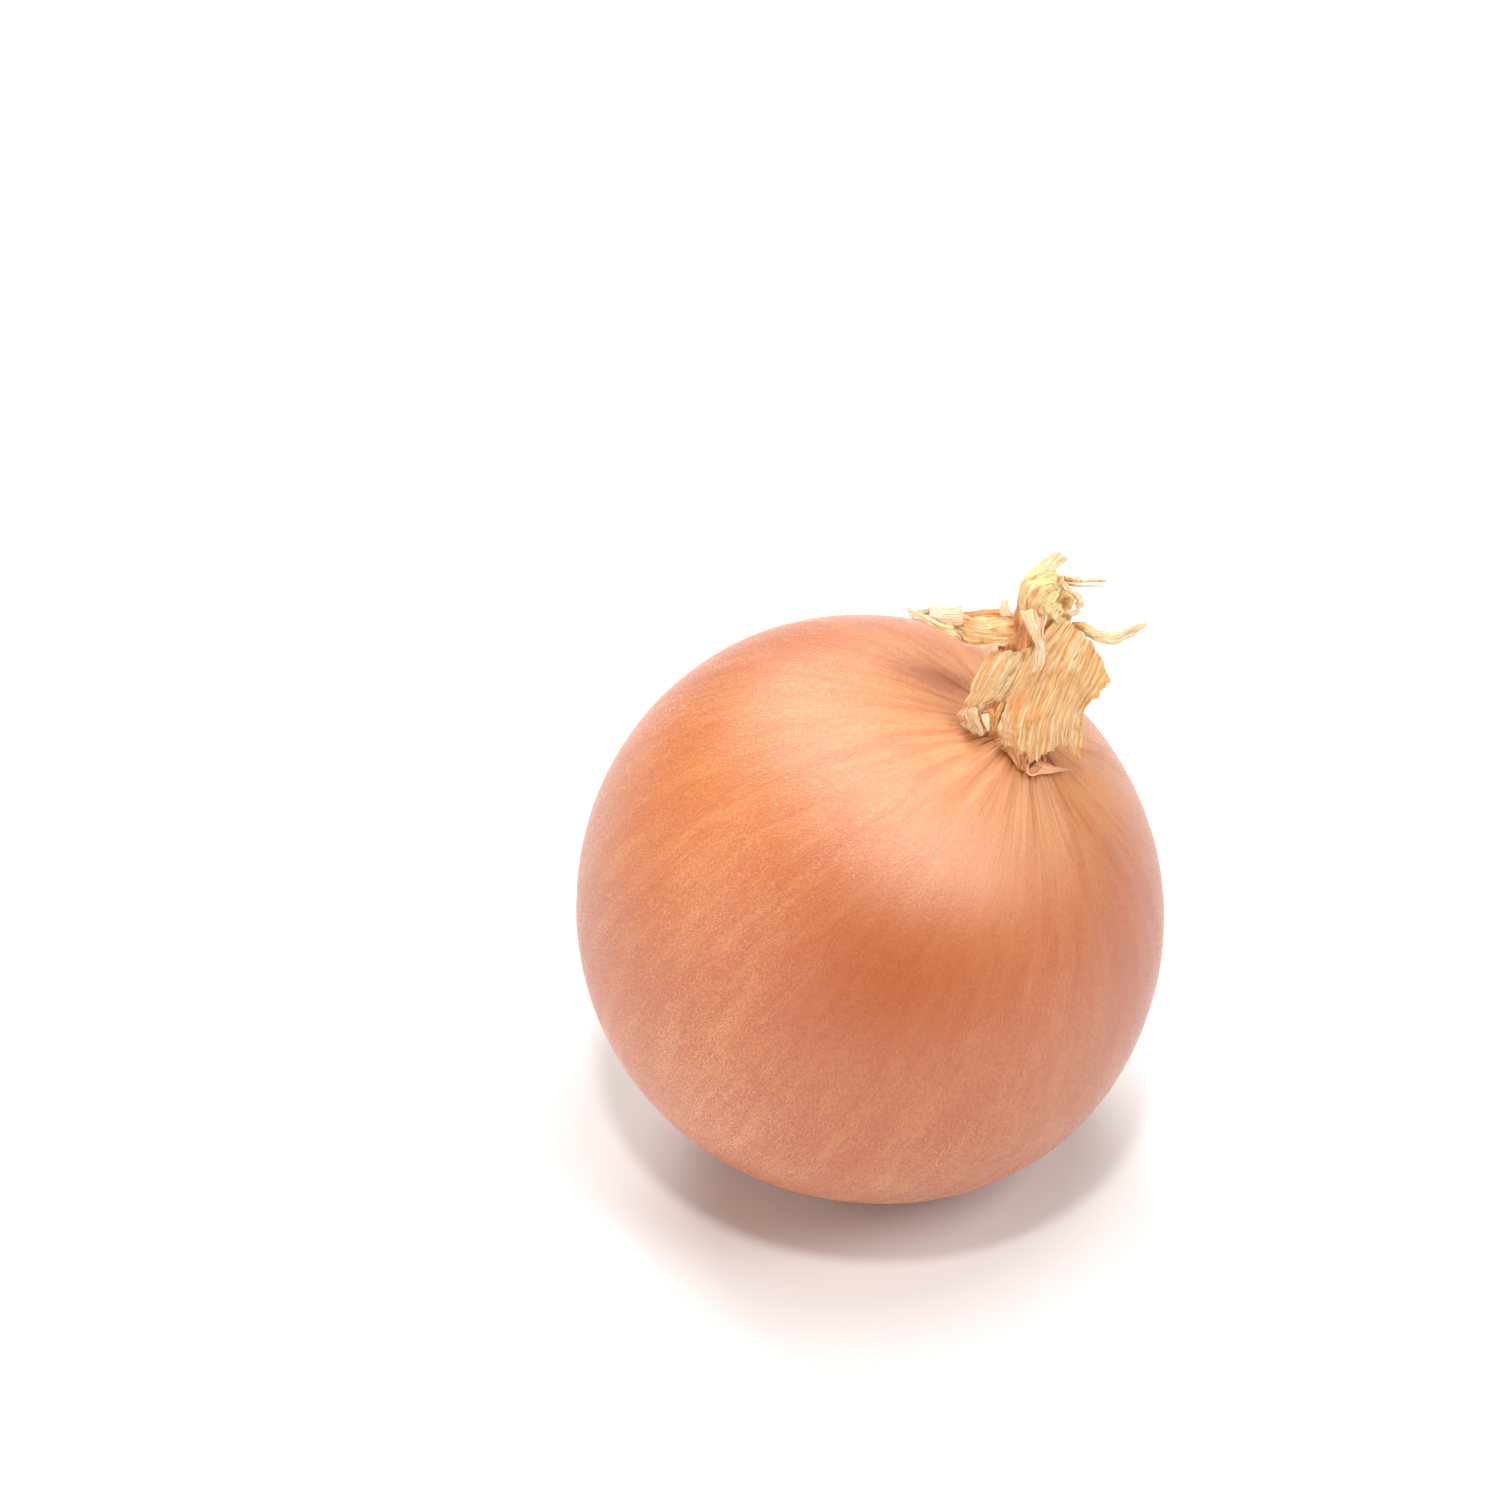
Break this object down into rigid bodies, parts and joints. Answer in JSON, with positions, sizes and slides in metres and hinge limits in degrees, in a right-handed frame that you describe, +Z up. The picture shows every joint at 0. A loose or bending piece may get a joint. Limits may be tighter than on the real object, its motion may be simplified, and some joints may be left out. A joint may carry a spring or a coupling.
{
  "type": "onion",
  "caption": "Whole brown onion: round bulb in satin copper skin, dry torn neck with papery shreds, short root tuft; lies on a small flat spot.",
  "frame": {"origin": "middle of the small flat spot that the onion rests on", "axes": "+Z up; the neck leans towards +X and a little towards -Y"},
  "size_m": [0.0749, 0.0756, 0.0923],
  "materials": {
    "skin": "satin",
    "straw": "matte",
    "pale_straw": "matte",
    "root": "matte"
  },
  "bodies": {
    "root": {"bulb": "skin", "root_tuft": "root", "neck_stalk": "pale_straw", "front_sheath": "straw", "left_sheath": "straw", "left_shred": "straw", "centre_strip": "pale_straw", "right_curl": "pale_straw", "back_sheath": "straw", "skin_scrap": "skin"}
  },
  "joints": []
}
